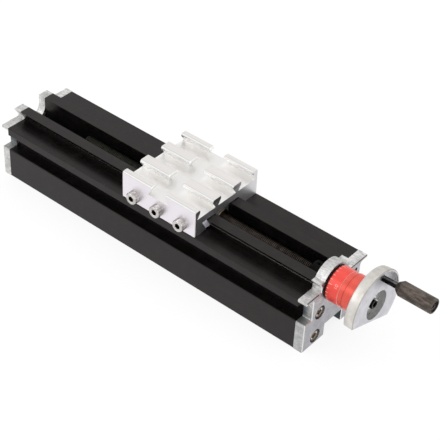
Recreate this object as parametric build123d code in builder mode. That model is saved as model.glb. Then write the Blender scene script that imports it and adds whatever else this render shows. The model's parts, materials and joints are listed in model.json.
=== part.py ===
from build123d import *
import math
import os

os.makedirs("parts", exist_ok=True)

# Hand-cranked cross slide, in millimetres.
# X runs along the bed toward the handwheel, Y across it toward the back, Z up.
# The origin is the middle of the bed's underside.

# Bed extrusion
bed_length = 203.0
bed_width = 50.0
side_wall_height = 18.5
side_slot_height = 9.5
side_slot_depth = 7.0
wing_thickness = 5.0
way_relief = 1.2
way_height = 6.1
way_top_width = 25.2
way_angle = 60.0
way_offset = -2.8
channel_width = 12.2
channel_depth = 17.3
t_slot_mouth_width = 8.2
t_slot_head_width = 14.4
t_slot_lip = 2.6
t_slot_head_height = 5.0
chamber_wall = 3.0
chamber_port_wall = 2.5
side_chamber_radius = 1.0
mid_chamber_radius = 1.5
bed_edge_radius = 0.5

# End plates and their screws
front_plate_thickness = 5.6
rear_plate_thickness = 5.2
plate_slot_depth = 5.6
plate_wing_thickness = 1.5
plate_corner_radius = 1.5
plate_edge_chamfer = 0.4
boss_radius = 11.0
rear_channel_rise = 6.0
plate_screw_low_inset = 10.0
plate_screw_low_height = 4.9
plate_screw_high_inset = 5.2
plate_screw_high_rise = 0.9
plate_screw_diameter = 4.0
plate_screw_length = 14.0
plate_head_diameter = 7.0
plate_head_height = 3.0
plate_head_chamfer = 0.35
plate_sink_depth = 3.5
plate_sink_clearance = 0.45
plate_bore_clearance = 0.2
index_hole_inset = 3.7
index_hole_drop = 3.1
index_hole_diameter = 1.6
index_hole_depth = 3.0

# Lead screw line
screw_height = 33.3
screw_diameter = 5.9
screw_free_end = 40.0
screw_end_chamfer = 0.6
flat_depth = 0.6
shaft_end_gap = 0.3
bush_diameter = 9.0
bush_flange_diameter = 11.2
bush_flange_thickness = 1.1
thrust_washer_diameter = 11.0
thrust_washer_thickness = 0.8
collar_diameter = 11.0
collar_length = 5.4
collar_chamfer = 0.4
collar_screw_diameter = 3.0
collar_screw_sink = 0.3
running_clearance = 0.04
thrust_gap = 0.1

# Dial, hub and handwheel
spacer_thickness = 1.1
spacer_radius = 9.6
spacer_bore_clearance = 0.3
ring_chamfer = 0.25
dial_radius = 9.7
dial_length = 6.9
hub_sleeve_radius = 7.2
hub_neck_radius = 9.4
hub_neck_length = 2.2
hub_barrel_radius = 9.9
hub_length = 17.6
hub_chamfer = 0.2
friction_ring_width = 1.4
friction_ring_height = 1.2
handwheel_rear_radius = 18.7
handwheel_front_radius = 19.4
handwheel_thickness = 6.0
handwheel_edge_radius = 0.7
handwheel_back_chamfer = 0.5
handwheel_sink_radius = 8.1
handwheel_sink_depth = 3.2
handwheel_flat_distance = 9.8
handwheel_flat_angle = 249.5
pocket_distance = 11.3
pocket_rim = 1.2
pocket_depth = 3.7
pocket_corner_radius = 1.2
end_washer_diameter = 7.2
end_washer_thickness = 0.5
end_screw_diameter = 3.0
end_screw_length = 9.0
end_head_diameter = 5.6
end_head_height = 1.8
end_head_chamfer = 0.3
washer_bore_clearance = 0.1

# Crank
crank_radius = 12.95
crank_angle = 44.5
crank_neck_diameter = 3.2
crank_neck_length = 8.5
crank_shank_diameter = 2.4
crank_head_diameter = 5.0
crank_head_height = 1.7
crank_head_chamfer = 0.3
crank_slot_width = 0.9
crank_slot_depth = 0.8
grip_diameter = 8.2
grip_length = 21.0
grip_cone_length = 2.3
grip_nose_diameter = 5.0
grip_sink_depth = 2.8
grip_sink_clearance = 0.3
grip_rim_chamfer = 0.4

# Carriage, at its place on the bed in the rest pose
carriage_rest = 86.7
carriage_length = 50.0
carriage_inset = 0.2
carriage_lift = 0.1
carriage_height = 16.1
base_clearance = 0.5
pad_width = 6.9
edge_pad_width = 4.1
groove_depth = 5.5
groove_undercut = 2.5
groove_nose = 1.6
slide_clearance = 0.1
pad_edge_radius = 1.3
carriage_end_chamfer = 0.35

# Gib and its screws
gib_thickness = 3.0
gib_clearance = 0.1
gib_screw_drop = 1.8
gib_screw_pitch = 16.0
gib_screw_diameter = 4.0
gib_head_diameter = 7.0
gib_head_height = 3.4
gib_head_chamfer = 0.4
gib_socket_depth = 2.5

# Lead nut, under the carriage's handwheel end
nut_diameter = 9.0
nut_length = 14.0
nut_lip = 1.0
nut_chamfer = 0.3
nut_clearance = 0.06
lug_clearance = 0.4
lug_wall = 3.8
lug_screw_diameter = 3.0
lug_screw_sink = 0.4

# Hexagon sockets, across the flats
head_socket_width = 3.0
head_socket_depth = 1.8
end_socket_depth = 1.3
set_screw_socket_width = 1.5
set_screw_socket_depth = 1.4

# Places that follow from the sizes above
bed_rear = -bed_length / 2
bed_front = bed_length / 2
wing_underside = side_wall_height + side_slot_height
wing_top = wing_underside + wing_thickness
way_foot = wing_top + way_relief
way_top = wing_top + way_height
way_half = way_top_width / 2
way_foot_half = way_half - (way_top - way_foot) / math.tan(math.radians(way_angle))
channel_half = channel_width / 2
channel_centre = way_top - channel_depth + channel_half
t_slot_top = t_slot_lip + t_slot_head_height
plate_face = bed_front + front_plate_thickness
spacer_face = plate_face + spacer_thickness
hub_rear = spacer_face + thrust_gap
dial_end = hub_rear + dial_length
neck_end = dial_end + thrust_gap + hub_neck_length
wheel_rear = hub_rear + hub_length
wheel_face = wheel_rear + handwheel_thickness
wheel_floor = wheel_face - handwheel_sink_depth
pocket_floor = wheel_face - pocket_depth
screw_radius = screw_diameter / 2
shaft_end = wheel_floor - shaft_end_gap
crank_y = way_offset + crank_radius * math.cos(math.radians(crank_angle))
crank_z = screw_height + crank_radius * math.sin(math.radians(crank_angle))
grip_rear = pocket_floor + crank_neck_length
grip_front = grip_rear + grip_length
carriage_rear = bed_rear + carriage_rest
carriage_front = carriage_rear + carriage_length
carriage_middle = (carriage_rear + carriage_front) / 2
carriage_width = bed_width - 2 * carriage_inset
carriage_bottom = wing_top + carriage_lift
carriage_top = carriage_bottom + carriage_height
groove_width = (carriage_width - 2 * edge_pad_width - 2 * pad_width) / 3
groove_pitch = groove_width + pad_width
groove_floor = carriage_top - groove_depth
base_underside = way_top + base_clearance
gib_screw_height = way_top - gib_screw_drop
nut_front = carriage_front
lug_front = nut_front - nut_lip
lug_rear = nut_front - nut_length
screw_axis = Axis((0, way_offset, screw_height), (1, 0, 0))
plate_screw_low = (bed_width / 2 - plate_screw_low_inset, plate_screw_low_height)
plate_screw_high = (
    bed_width / 2 - side_slot_depth - plate_screw_high_inset,
    side_wall_height + plate_screw_high_rise,
)
plate_bore_radius = plate_screw_diameter / 2 + plate_bore_clearance
plate_sink_radius = plate_head_diameter / 2 + plate_sink_clearance
screw_bores = [
    (side * y, z) for side in (-1, 1) for y, z in (plate_screw_low, plate_screw_high)
]
index_hole = (
    bed_width / 2 - plate_slot_depth - index_hole_inset,
    wing_top - plate_wing_thickness - index_hole_drop,
)


def way_flank(side, height):
    """Y of the dovetail flank on the front (-1) or back (1) side at a height."""
    lean = (way_top - height) / math.tan(math.radians(way_angle))
    return way_offset + side * (way_half - lean)


def line_plane(x):
    """Cross-section plane on the lead screw line, with local X along +Y and local Y up."""
    return Plane(origin=(x, way_offset, screw_height), x_dir=(0, 1, 0), z_dir=(1, 0, 0))


# Bed extrusion: dovetail ways, screw channel, side slots and a T-slot underneath
with BuildPart() as bed_extrusion:
    with BuildSketch(Plane.YZ.offset(bed_rear)):
        with BuildLine():
            Polyline(
                (way_offset - channel_half, channel_centre),
                (way_offset - channel_half, way_top),
                (way_offset - way_half, way_top),
                (way_offset - way_foot_half, way_foot),
                (way_offset - way_foot_half, wing_top),
                (-bed_width / 2, wing_top),
                (-bed_width / 2, wing_underside),
                (-bed_width / 2 + side_slot_depth, wing_underside),
                (-bed_width / 2 + side_slot_depth, side_wall_height),
                (-bed_width / 2, side_wall_height),
                (-bed_width / 2, 0),
                (-t_slot_mouth_width / 2, 0),
                (-t_slot_mouth_width / 2, t_slot_lip),
                (-t_slot_head_width / 2, t_slot_lip),
                (-t_slot_head_width / 2, t_slot_top),
                (t_slot_head_width / 2, t_slot_top),
                (t_slot_head_width / 2, t_slot_lip),
                (t_slot_mouth_width / 2, t_slot_lip),
                (t_slot_mouth_width / 2, 0),
                (bed_width / 2, 0),
                (bed_width / 2, side_wall_height),
                (bed_width / 2 - side_slot_depth, side_wall_height),
                (bed_width / 2 - side_slot_depth, wing_underside),
                (bed_width / 2, wing_underside),
                (bed_width / 2, wing_top),
                (way_offset + way_foot_half, wing_top),
                (way_offset + way_foot_half, way_foot),
                (way_offset + way_half, way_top),
                (way_offset + channel_half, way_top),
                (way_offset + channel_half, channel_centre),
            )
            ThreePointArc(
                (way_offset + channel_half, channel_centre),
                (way_offset, channel_centre - channel_half),
                (way_offset - channel_half, channel_centre),
            )
        outline = make_face()
        fillet(outline.vertices().filter_by(lambda v: abs(v.X) > bed_width / 2 - 0.01), bed_edge_radius)
        # Hollow chambers, one in each side and one under the channel
        side_chamber_width = (bed_width - t_slot_head_width) / 2 - 2 * chamber_wall
        side_chamber_top = side_wall_height - chamber_wall
        side_chamber_floor = plate_screw_low[1] + plate_screw_diameter / 2 + chamber_port_wall
        side_chamber_y = (t_slot_head_width / 2 + bed_width / 2) / 2
        with Locations(
            (-side_chamber_y, (side_chamber_top + side_chamber_floor) / 2),
            (side_chamber_y, (side_chamber_top + side_chamber_floor) / 2),
        ):
            RectangleRounded(
                side_chamber_width,
                side_chamber_top - side_chamber_floor,
                side_chamber_radius,
                mode=Mode.SUBTRACT,
            )
        mid_chamber_floor = t_slot_top + chamber_wall
        mid_chamber_top = channel_centre - channel_half - chamber_wall
        with Locations((0, (mid_chamber_floor + mid_chamber_top) / 2)):
            RectangleRounded(
                t_slot_head_width,
                mid_chamber_top - mid_chamber_floor,
                mid_chamber_radius,
                mode=Mode.SUBTRACT,
            )
        # Screw ports for the end plates run the whole length
        with Locations(*screw_bores):
            Circle(plate_screw_diameter / 2, mode=Mode.SUBTRACT)
    extrude(amount=bed_length)
bed_extrusion.part.label = "bed_extrusion"


def plate_outline(side):
    """Outline points of an end plate on one side, from the underside up to the way's top."""
    edge = side * bed_width / 2
    slot = side * (bed_width / 2 - plate_slot_depth)
    return [
        (side * t_slot_head_width / 2, t_slot_top),
        (side * t_slot_head_width / 2, 0),
        (edge, 0),
        (edge, side_wall_height),
        (slot, side_wall_height),
        (slot, wing_top - plate_wing_thickness),
        (edge, wing_top - plate_wing_thickness),
        (edge, wing_top),
        (way_offset + side * way_foot_half, wing_top),
        (way_offset + side * way_foot_half, way_foot),
        (way_offset + side * way_half, way_top),
    ]


# Front end plate, with the boss that carries the lead screw's bush
with BuildPart() as front_end_plate:
    with BuildSketch(Plane.YZ.offset(bed_front)):
        with BuildLine():
            Polyline(*plate_outline(-1), *reversed(plate_outline(1)), close=True)
        make_face()
    extrude(amount=front_plate_thickness)
    wing_roots = front_end_plate.edges().filter_by(Axis.X).filter_by(
        lambda e: abs(abs(e.center().Y) - bed_width / 2 + plate_slot_depth) < 0.01
        and e.center().Z > wing_underside
    )
    fillet(wing_roots, plate_corner_radius)
    chamfer(front_end_plate.faces().sort_by(Axis.X)[-1].edges(), plate_edge_chamfer)
    with BuildSketch(Plane.XZ.offset(-way_offset)):
        with BuildLine():
            Polyline(
                (bed_front, screw_height),
                (bed_front, screw_height + boss_radius),
                (plate_face - plate_edge_chamfer, screw_height + boss_radius),
                (plate_face, screw_height + boss_radius - plate_edge_chamfer),
                (plate_face, screw_height),
                close=True,
            )
        make_face()
    revolve(axis=screw_axis)
    with Locations(Plane.YZ.offset(plate_face)):
        with Locations(*screw_bores):
            CounterBoreHole(plate_bore_radius, plate_sink_radius, plate_sink_depth)
        with Locations(index_hole):
            Hole(index_hole_diameter / 2, depth=index_hole_depth)
        with Locations((way_offset, screw_height)):
            Hole(bush_diameter / 2)
front_end_plate.part.label = "front_end_plate"

# Rear end plate, whose channel is shallower than the bed's
with BuildPart() as rear_end_plate:
    rear_floor_centre = channel_centre + rear_channel_rise
    with BuildSketch(Plane.YZ.offset(bed_rear)):
        with BuildLine():
            Polyline(
                (way_offset - channel_half, rear_floor_centre),
                (way_offset - channel_half, way_top),
                *reversed(plate_outline(-1)),
                *plate_outline(1),
                (way_offset + channel_half, way_top),
                (way_offset + channel_half, rear_floor_centre),
            )
            ThreePointArc(
                (way_offset + channel_half, rear_floor_centre),
                (way_offset, rear_floor_centre - channel_half),
                (way_offset - channel_half, rear_floor_centre),
            )
        make_face()
    extrude(amount=-rear_plate_thickness)
    wing_roots = rear_end_plate.edges().filter_by(Axis.X).filter_by(
        lambda e: abs(abs(e.center().Y) - bed_width / 2 + plate_slot_depth) < 0.01
        and e.center().Z > wing_underside
    )
    fillet(wing_roots, plate_corner_radius)
    chamfer(rear_end_plate.faces().sort_by(Axis.X)[0].edges(), plate_edge_chamfer)
    rear_face_plane = Plane(
        origin=(bed_rear - rear_plate_thickness, 0, 0), x_dir=(0, 1, 0), z_dir=(-1, 0, 0)
    )
    with Locations(rear_face_plane):
        with Locations(*[(y, -z) for y, z in screw_bores]):
            CounterBoreHole(plate_bore_radius, plate_sink_radius, plate_sink_depth)
rear_end_plate.part.label = "rear_end_plate"


def plate_screws(face, outward):
    """Four socket-head screws, seated in a plate's counterbores and reaching into the bed."""
    seat = face - outward * plate_sink_depth
    with BuildPart() as screws:
        with BuildSketch(Plane.YZ.offset(seat)):
            with Locations(*screw_bores):
                Circle(plate_head_diameter / 2)
        extrude(amount=outward * plate_head_height)
        rims = screws.faces().filter_by(Axis.X).sort_by(Axis.X)
        chamfer((rims[-4:] if outward > 0 else rims[:4]).edges(), plate_head_chamfer)
        with BuildSketch(Plane.YZ.offset(seat + outward * plate_head_height)):
            with Locations(*screw_bores):
                RegularPolygon(head_socket_width / 2, 6, major_radius=False)
        extrude(amount=-outward * head_socket_depth, mode=Mode.SUBTRACT)
        with BuildSketch(Plane.YZ.offset(seat)):
            with Locations(*screw_bores):
                Circle(plate_screw_diameter / 2)
        extrude(amount=-outward * plate_screw_length)
    return screws


front_plate_screws = plate_screws(plate_face, 1)
front_plate_screws.part.label = "front_plate_screws"
rear_plate_screws = plate_screws(bed_rear - rear_plate_thickness, -1)
rear_plate_screws.part.label = "rear_plate_screws"

# Flanged bush, pressed into the boss from the bed's side
flange_rear = bed_front - bush_flange_thickness
with BuildPart() as spindle_bush:
    with BuildSketch(line_plane(flange_rear)):
        Circle(bush_flange_diameter / 2)
    extrude(amount=bush_flange_thickness)
    with BuildSketch(line_plane(bed_front)):
        Circle(bush_diameter / 2)
    extrude(amount=front_plate_thickness)
    with Locations(line_plane(plate_face)):
        Hole(screw_radius + running_clearance)
spindle_bush.part.label = "spindle_bush"

# Black spacer ring between the boss and the dial
with BuildPart() as spacer_ring:
    with BuildSketch(line_plane(plate_face)):
        Circle(spacer_radius)
        Circle(screw_radius + spacer_bore_clearance, mode=Mode.SUBTRACT)
    extrude(amount=spacer_thickness)
    chamfer(spacer_ring.edges().filter_by(GeomType.CIRCLE).group_by(SortBy.RADIUS)[-1], ring_chamfer)
spacer_ring.part.label = "spacer_ring"

# Lead screw: the threaded length, then the journal that carries hub and handwheel
with BuildPart() as lead_screw:
    screw_start = bed_rear + screw_free_end
    with BuildSketch(line_plane(screw_start)):
        Circle(screw_radius)
    extrude(amount=shaft_end - screw_start)
    chamfer(lead_screw.edges().filter_by(GeomType.CIRCLE).sort_by(Axis.X)[0], screw_end_chamfer)
    # Flat that drives the hub and the handwheel
    with BuildSketch(line_plane(shaft_end)):
        with Locations((0, screw_radius - flat_depth)):
            Rectangle(screw_diameter, screw_diameter, align=(Align.CENTER, Align.MIN))
    extrude(amount=hub_rear - shaft_end, mode=Mode.SUBTRACT)
    with Locations(line_plane(shaft_end)):
        Hole(end_screw_diameter / 2, depth=end_screw_length)
lead_screw.part.label = "lead_screw"

# Thrust washer and collar, inside the bed's channel
washer_front = flange_rear - thrust_gap
collar_front = washer_front - thrust_washer_thickness
with BuildPart() as thrust_washer:
    with BuildSketch(line_plane(washer_front)):
        Circle(thrust_washer_diameter / 2)
        Circle(screw_radius + running_clearance, mode=Mode.SUBTRACT)
    extrude(amount=-thrust_washer_thickness)
thrust_washer.part.label = "thrust_washer"

with BuildPart() as thrust_collar:
    with BuildSketch(line_plane(collar_front)):
        Circle(collar_diameter / 2)
        Circle(screw_radius, mode=Mode.SUBTRACT)
    extrude(amount=-collar_length)
    chamfer(thrust_collar.edges().filter_by(GeomType.CIRCLE).group_by(SortBy.RADIUS)[-1], collar_chamfer)
    with Locations(
        Plane(
            origin=(collar_front - collar_length / 2, way_offset, screw_height),
            x_dir=(1, 0, 0),
            z_dir=(0, 0, 1),
        )
    ):
        Cylinder(
            collar_screw_diameter / 2,
            collar_diameter / 2,
            align=(Align.CENTER, Align.CENTER, Align.MIN),
            mode=Mode.SUBTRACT,
        )
thrust_collar.part.label = "thrust_collar"

with BuildPart() as collar_set_screw:
    with BuildSketch(
        Plane(
            origin=(collar_front - collar_length / 2, way_offset, screw_height + screw_radius),
            x_dir=(1, 0, 0),
            z_dir=(0, 0, 1),
        )
    ):
        Circle(collar_screw_diameter / 2)
    extrude(amount=collar_diameter / 2 - screw_radius - collar_screw_sink)
    with BuildSketch(collar_set_screw.faces().sort_by(Axis.Z)[-1]):
        RegularPolygon(set_screw_socket_width / 2, 6, major_radius=False)
    extrude(amount=-set_screw_socket_depth, mode=Mode.SUBTRACT)
collar_set_screw.part.label = "collar_set_screw"

# Red hub: a sleeve that the dial ring turns on, a neck and the barrel behind the handwheel
ring_x = hub_rear + dial_length / 2
ring_floor = screw_height + hub_sleeve_radius - friction_ring_height
with BuildPart() as dial_hub:
    with BuildSketch(Plane.XZ.offset(-way_offset)):
        with BuildLine():
            Polyline(
                (hub_rear, screw_height),
                (hub_rear, screw_height + hub_sleeve_radius),
                (ring_x - friction_ring_width / 2, screw_height + hub_sleeve_radius),
                (ring_x - friction_ring_width / 2, ring_floor),
                (ring_x + friction_ring_width / 2, ring_floor),
                (ring_x + friction_ring_width / 2, screw_height + hub_sleeve_radius),
                (dial_end + thrust_gap, screw_height + hub_sleeve_radius),
                (dial_end + thrust_gap, screw_height + hub_neck_radius),
                (neck_end, screw_height + hub_neck_radius),
                (neck_end, screw_height + hub_barrel_radius - hub_chamfer),
                (neck_end + hub_chamfer, screw_height + hub_barrel_radius),
                (wheel_rear, screw_height + hub_barrel_radius),
                (wheel_rear, screw_height),
                close=True,
            )
        make_face()
    revolve(axis=screw_axis)
    with BuildSketch(line_plane(wheel_rear)):
        Circle(screw_radius)
        with Locations((0, screw_radius - flat_depth)):
            Rectangle(
                screw_diameter, screw_diameter, align=(Align.CENTER, Align.MIN), mode=Mode.SUBTRACT
            )
    extrude(amount=-hub_length, mode=Mode.SUBTRACT)
dial_hub.part.label = "dial_hub"

# Rubber ring that lets the dial be turned on the hub and then keeps it there
with BuildPart() as dial_friction_ring:
    with BuildSketch(line_plane(ring_x - friction_ring_width / 2)):
        Circle(hub_sleeve_radius + running_clearance / 2)
        Circle(hub_sleeve_radius - friction_ring_height, mode=Mode.SUBTRACT)
    extrude(amount=friction_ring_width)
dial_friction_ring.part.label = "dial_friction_ring"

# Graduated dial ring
with BuildPart() as dial_ring:
    with BuildSketch(line_plane(hub_rear + thrust_gap / 2)):
        Circle(dial_radius)
        Circle(hub_sleeve_radius + running_clearance, mode=Mode.SUBTRACT)
    extrude(amount=dial_length)
    chamfer(dial_ring.edges().filter_by(GeomType.CIRCLE).group_by(SortBy.RADIUS)[-1], ring_chamfer)
dial_ring.part.label = "dial_ring"

# Handwheel: a tapered disc with one flat, a sink for its screw and a pocket for the crank
with BuildPart() as handwheel:
    with BuildSketch(Plane.XZ.offset(-way_offset)):
        with BuildLine():
            Polyline(
                (wheel_rear, screw_height),
                (wheel_rear, screw_height + handwheel_rear_radius),
                (wheel_face, screw_height + handwheel_front_radius),
                (wheel_face, screw_height),
                close=True,
            )
        make_face()
    revolve(axis=screw_axis)
    with BuildSketch(line_plane(wheel_rear)):
        with Locations(Rotation(0, 0, handwheel_flat_angle)):
            with Locations((handwheel_flat_distance, 0)):
                Rectangle(
                    handwheel_front_radius,
                    3 * handwheel_front_radius,
                    align=(Align.MIN, Align.CENTER),
                )
    extrude(amount=handwheel_thickness, mode=Mode.SUBTRACT)
    fillet(handwheel.faces().sort_by(Axis.X)[-1].edges(), handwheel_edge_radius)
    chamfer(handwheel.faces().sort_by(Axis.X)[0].edges(), handwheel_back_chamfer)
    with BuildSketch(line_plane(wheel_face)) as pocket:
        Circle(handwheel_front_radius - pocket_rim)
        with Locations(Rotation(0, 0, crank_angle)):
            with Locations((pocket_distance, 0)):
                Rectangle(
                    2 * handwheel_front_radius,
                    3 * handwheel_front_radius,
                    align=(Align.MAX, Align.CENTER),
                    mode=Mode.SUBTRACT,
                )
        fillet(pocket.vertices(), pocket_corner_radius)
    extrude(amount=-pocket_depth, mode=Mode.SUBTRACT)
    with BuildSketch(line_plane(wheel_face)):
        Circle(handwheel_sink_radius)
    extrude(amount=-handwheel_sink_depth, mode=Mode.SUBTRACT)
    with BuildSketch(line_plane(wheel_face)):
        Circle(screw_radius)
        with Locations((0, screw_radius - flat_depth)):
            Rectangle(
                screw_diameter, screw_diameter, align=(Align.CENTER, Align.MIN), mode=Mode.SUBTRACT
            )
        with Locations((crank_y - way_offset, crank_z - screw_height)):
            Circle(crank_neck_diameter / 2)
    extrude(amount=-handwheel_thickness, mode=Mode.SUBTRACT)
handwheel.part.label = "handwheel"

with BuildPart() as handwheel_washer:
    with BuildSketch(line_plane(wheel_floor)):
        Circle(end_washer_diameter / 2)
        Circle(end_screw_diameter / 2 + washer_bore_clearance, mode=Mode.SUBTRACT)
    extrude(amount=end_washer_thickness)
handwheel_washer.part.label = "handwheel_washer"

with BuildPart() as handwheel_screw:
    head_seat = wheel_floor + end_washer_thickness
    with BuildSketch(line_plane(head_seat)):
        Circle(end_head_diameter / 2)
    extrude(amount=end_head_height)
    head_rim = handwheel_screw.edges().filter_by(GeomType.CIRCLE).sort_by(Axis.X)[-1]
    chamfer(head_rim, end_head_chamfer)
    with BuildSketch(line_plane(head_seat + end_head_height)):
        RegularPolygon(head_socket_width / 2, 6, major_radius=False)
    extrude(amount=-end_socket_depth, mode=Mode.SUBTRACT)
    with BuildSketch(line_plane(head_seat)):
        Circle(end_screw_diameter / 2)
    extrude(amount=-end_screw_length)
handwheel_screw.part.label = "handwheel_screw"


def crank_plane(x):
    """Cross-section plane on the crank's line."""
    return Plane(origin=(x, crank_y, crank_z), x_dir=(0, 1, 0), z_dir=(1, 0, 0))


crank_line = Axis((0, crank_y, crank_z), (1, 0, 0))
grip_seat = grip_front - grip_sink_depth

# Crank axle: a neck held in the handwheel, a thinner shank for the grip and a slotted head
with BuildPart() as crank_axle:
    with BuildSketch(Plane.XZ.offset(-crank_y)):
        with BuildLine():
            Polyline(
                (wheel_rear, crank_z),
                (wheel_rear, crank_z + crank_neck_diameter / 2),
                (grip_rear - thrust_gap, crank_z + crank_neck_diameter / 2),
                (grip_rear - thrust_gap, crank_z + crank_shank_diameter / 2),
                (grip_seat + thrust_gap, crank_z + crank_shank_diameter / 2),
                (grip_seat + thrust_gap, crank_z + crank_head_diameter / 2),
                (grip_seat + thrust_gap + crank_head_height, crank_z + crank_head_diameter / 2),
                (grip_seat + thrust_gap + crank_head_height, crank_z),
                close=True,
            )
        make_face()
    revolve(axis=crank_line)
    head_rim = crank_axle.edges().filter_by(GeomType.CIRCLE).sort_by(Axis.X)[-1]
    chamfer(head_rim, crank_head_chamfer)
    with BuildSketch(crank_plane(grip_seat + thrust_gap + crank_head_height)):
        Rectangle(2 * crank_head_diameter, crank_slot_width)
    extrude(amount=-crank_slot_depth, mode=Mode.SUBTRACT)
crank_axle.part.label = "crank_axle"

# Crank grip: a turned sleeve with a coned nose
with BuildPart() as crank_grip:
    bore = crank_shank_diameter / 2 + running_clearance
    sink_radius = crank_head_diameter / 2 + grip_sink_clearance
    with BuildSketch(Plane.XZ.offset(-crank_y)):
        with BuildLine():
            Polyline(
                (grip_rear, crank_z + bore),
                (grip_rear, crank_z + grip_nose_diameter / 2),
                (grip_rear + grip_cone_length, crank_z + grip_diameter / 2),
                (grip_front, crank_z + grip_diameter / 2),
                (grip_front, crank_z + sink_radius),
                (grip_seat, crank_z + sink_radius),
                (grip_seat, crank_z + bore),
                close=True,
            )
        make_face()
    revolve(axis=crank_line)
    front_rim = crank_grip.edges().filter_by(GeomType.CIRCLE).group_by(Axis.X)[-1]
    chamfer(front_rim.sort_by(SortBy.RADIUS)[-1], grip_rim_chamfer)
crank_grip.part.label = "crank_grip"


def groove_profile():
    """Points of a dovetail groove's section, centred on the groove, local Y up."""
    mouth = groove_width / 2
    floor = mouth + groove_undercut
    return [
        (-mouth, carriage_top),
        (-mouth, carriage_top - groove_nose),
        (-floor, groove_floor),
        (floor, groove_floor),
        (mouth, carriage_top - groove_nose),
        (mouth, carriage_top),
    ]


# Carriage: a slide that hangs over the dovetail, with grooves in its top for clamped parts
flank_gap = slide_clearance / math.sin(math.radians(way_angle))
gib_gap = gib_clearance / math.sin(math.radians(way_angle))
gib_width = gib_thickness / math.sin(math.radians(way_angle))


def wall_inner(height):
    """Y of the front wall's slanted inner face, which the gib lies against."""
    return way_flank(-1, height) - gib_gap - gib_width


with BuildPart() as carriage:
    with BuildSketch(Plane.YZ.offset(carriage_rear)):
        with BuildLine():
            Polyline(
                (-carriage_width / 2, carriage_bottom),
                (-carriage_width / 2, carriage_top),
                (carriage_width / 2, carriage_top),
                (carriage_width / 2, carriage_bottom),
                (way_flank(1, way_foot) + flank_gap, carriage_bottom),
                (way_flank(1, way_foot) + flank_gap, way_foot),
                (way_flank(1, base_underside) + flank_gap, base_underside),
                (wall_inner(base_underside), base_underside),
                (wall_inner(carriage_bottom), carriage_bottom),
                close=True,
            )
        make_face()
    extrude(amount=carriage_length)
    # Lug that holds the lead nut in the bed's channel
    lug_half = channel_width / 2 - lug_clearance
    lug_low = screw_height - nut_diameter / 2 - lug_wall
    with BuildSketch(Plane.YZ.offset(lug_rear)):
        with BuildLine():
            Polyline(
                (way_offset - lug_half, lug_low + lug_half),
                (way_offset - lug_half, (base_underside + groove_floor) / 2),
                (way_offset + lug_half, (base_underside + groove_floor) / 2),
                (way_offset + lug_half, lug_low + lug_half),
            )
            ThreePointArc(
                (way_offset + lug_half, lug_low + lug_half),
                (way_offset, lug_low),
                (way_offset - lug_half, lug_low + lug_half),
            )
        make_face()
    extrude(amount=lug_front - lug_rear)
    with BuildSketch(line_plane(lug_rear)):
        Circle(nut_diameter / 2)
    extrude(amount=lug_front - lug_rear, mode=Mode.SUBTRACT)
    with BuildSketch(
        Plane(
            origin=((lug_rear + lug_front) / 2, way_offset, lug_low), x_dir=(1, 0, 0), z_dir=(0, 0, 1)
        )
    ):
        Circle(lug_screw_diameter / 2)
    extrude(amount=screw_height - lug_low, mode=Mode.SUBTRACT)
    # Three grooves along the bed and one across
    with BuildSketch(Plane.YZ.offset(carriage_rear)):
        for shift in (-groove_pitch, 0, groove_pitch):
            with BuildLine():
                Polyline(*[(shift + y, z) for y, z in groove_profile()], close=True)
            make_face()
    extrude(amount=carriage_length, mode=Mode.SUBTRACT)
    with BuildSketch(Plane.XZ.offset(-carriage_width / 2)):
        with BuildLine():
            Polyline(*[(carriage_middle + x, z) for x, z in groove_profile()], close=True)
        make_face()
    extrude(amount=carriage_width, mode=Mode.SUBTRACT)
    # Rounded long edges of the pads, then a chamfer that follows each pad's ends and corners
    pad_tops = carriage.faces().filter_by(Axis.Z).group_by(Axis.Z)[-1]
    fillet(pad_tops.edges().filter_by(Axis.X), pad_edge_radius)
    pad_tops = carriage.faces().filter_by(Axis.Z).group_by(Axis.Z)[-1]
    chamfer(pad_tops.edges().filter_by(Axis.Y), carriage_end_chamfer)
    # Tapped holes for the gib screws
    with BuildSketch(Plane.XZ.offset(carriage_width / 2)):
        with Locations((carriage_middle, gib_screw_height)):
            with GridLocations(gib_screw_pitch, 1, 3, 1):
                Circle(gib_screw_diameter / 2)
    lowest_tap = wall_inner(gib_screw_height - gib_screw_diameter / 2)
    extrude(amount=-(lowest_tap + carriage_width / 2), mode=Mode.SUBTRACT)
carriage.part.label = "carriage"

# Gib strip, between the carriage's front wall and the front flank of the way
with BuildPart() as gib_strip:
    gib_bottom = way_foot + gib_clearance
    gib_top = base_underside - gib_clearance
    with BuildSketch(Plane.YZ.offset(carriage_rear)):
        with BuildLine():
            Polyline(
                (wall_inner(gib_bottom), gib_bottom),
                (wall_inner(gib_top), gib_top),
                (wall_inner(gib_top) + gib_width, gib_top),
                (wall_inner(gib_bottom) + gib_width, gib_bottom),
                close=True,
            )
        make_face()
    extrude(amount=carriage_length)
gib_strip.part.label = "gib_strip"

# Gib screws: three socket-head screws through the front wall
with BuildPart() as gib_screws:
    head_plane = Plane.XZ.offset(carriage_width / 2)
    screw_places = [
        (carriage_middle + step * gib_screw_pitch, gib_screw_height) for step in (-1, 0, 1)
    ]
    with BuildSketch(head_plane):
        with Locations(*screw_places):
            Circle(gib_head_diameter / 2)
    extrude(amount=gib_head_height)
    chamfer(gib_screws.faces().filter_by(Axis.Y).group_by(Axis.Y)[0].edges(), gib_head_chamfer)
    with BuildSketch(Plane.XZ.offset(carriage_width / 2 + gib_head_height)):
        with Locations(*screw_places):
            RegularPolygon(head_socket_width / 2, 6, major_radius=False)
    extrude(amount=-gib_socket_depth, mode=Mode.SUBTRACT)
    highest_tap = wall_inner(gib_screw_height + gib_screw_diameter / 2)
    with BuildSketch(head_plane):
        with Locations(*screw_places):
            Circle(gib_screw_diameter / 2)
    extrude(amount=-(highest_tap + carriage_width / 2))
gib_screws.part.label = "gib_screws"

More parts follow.
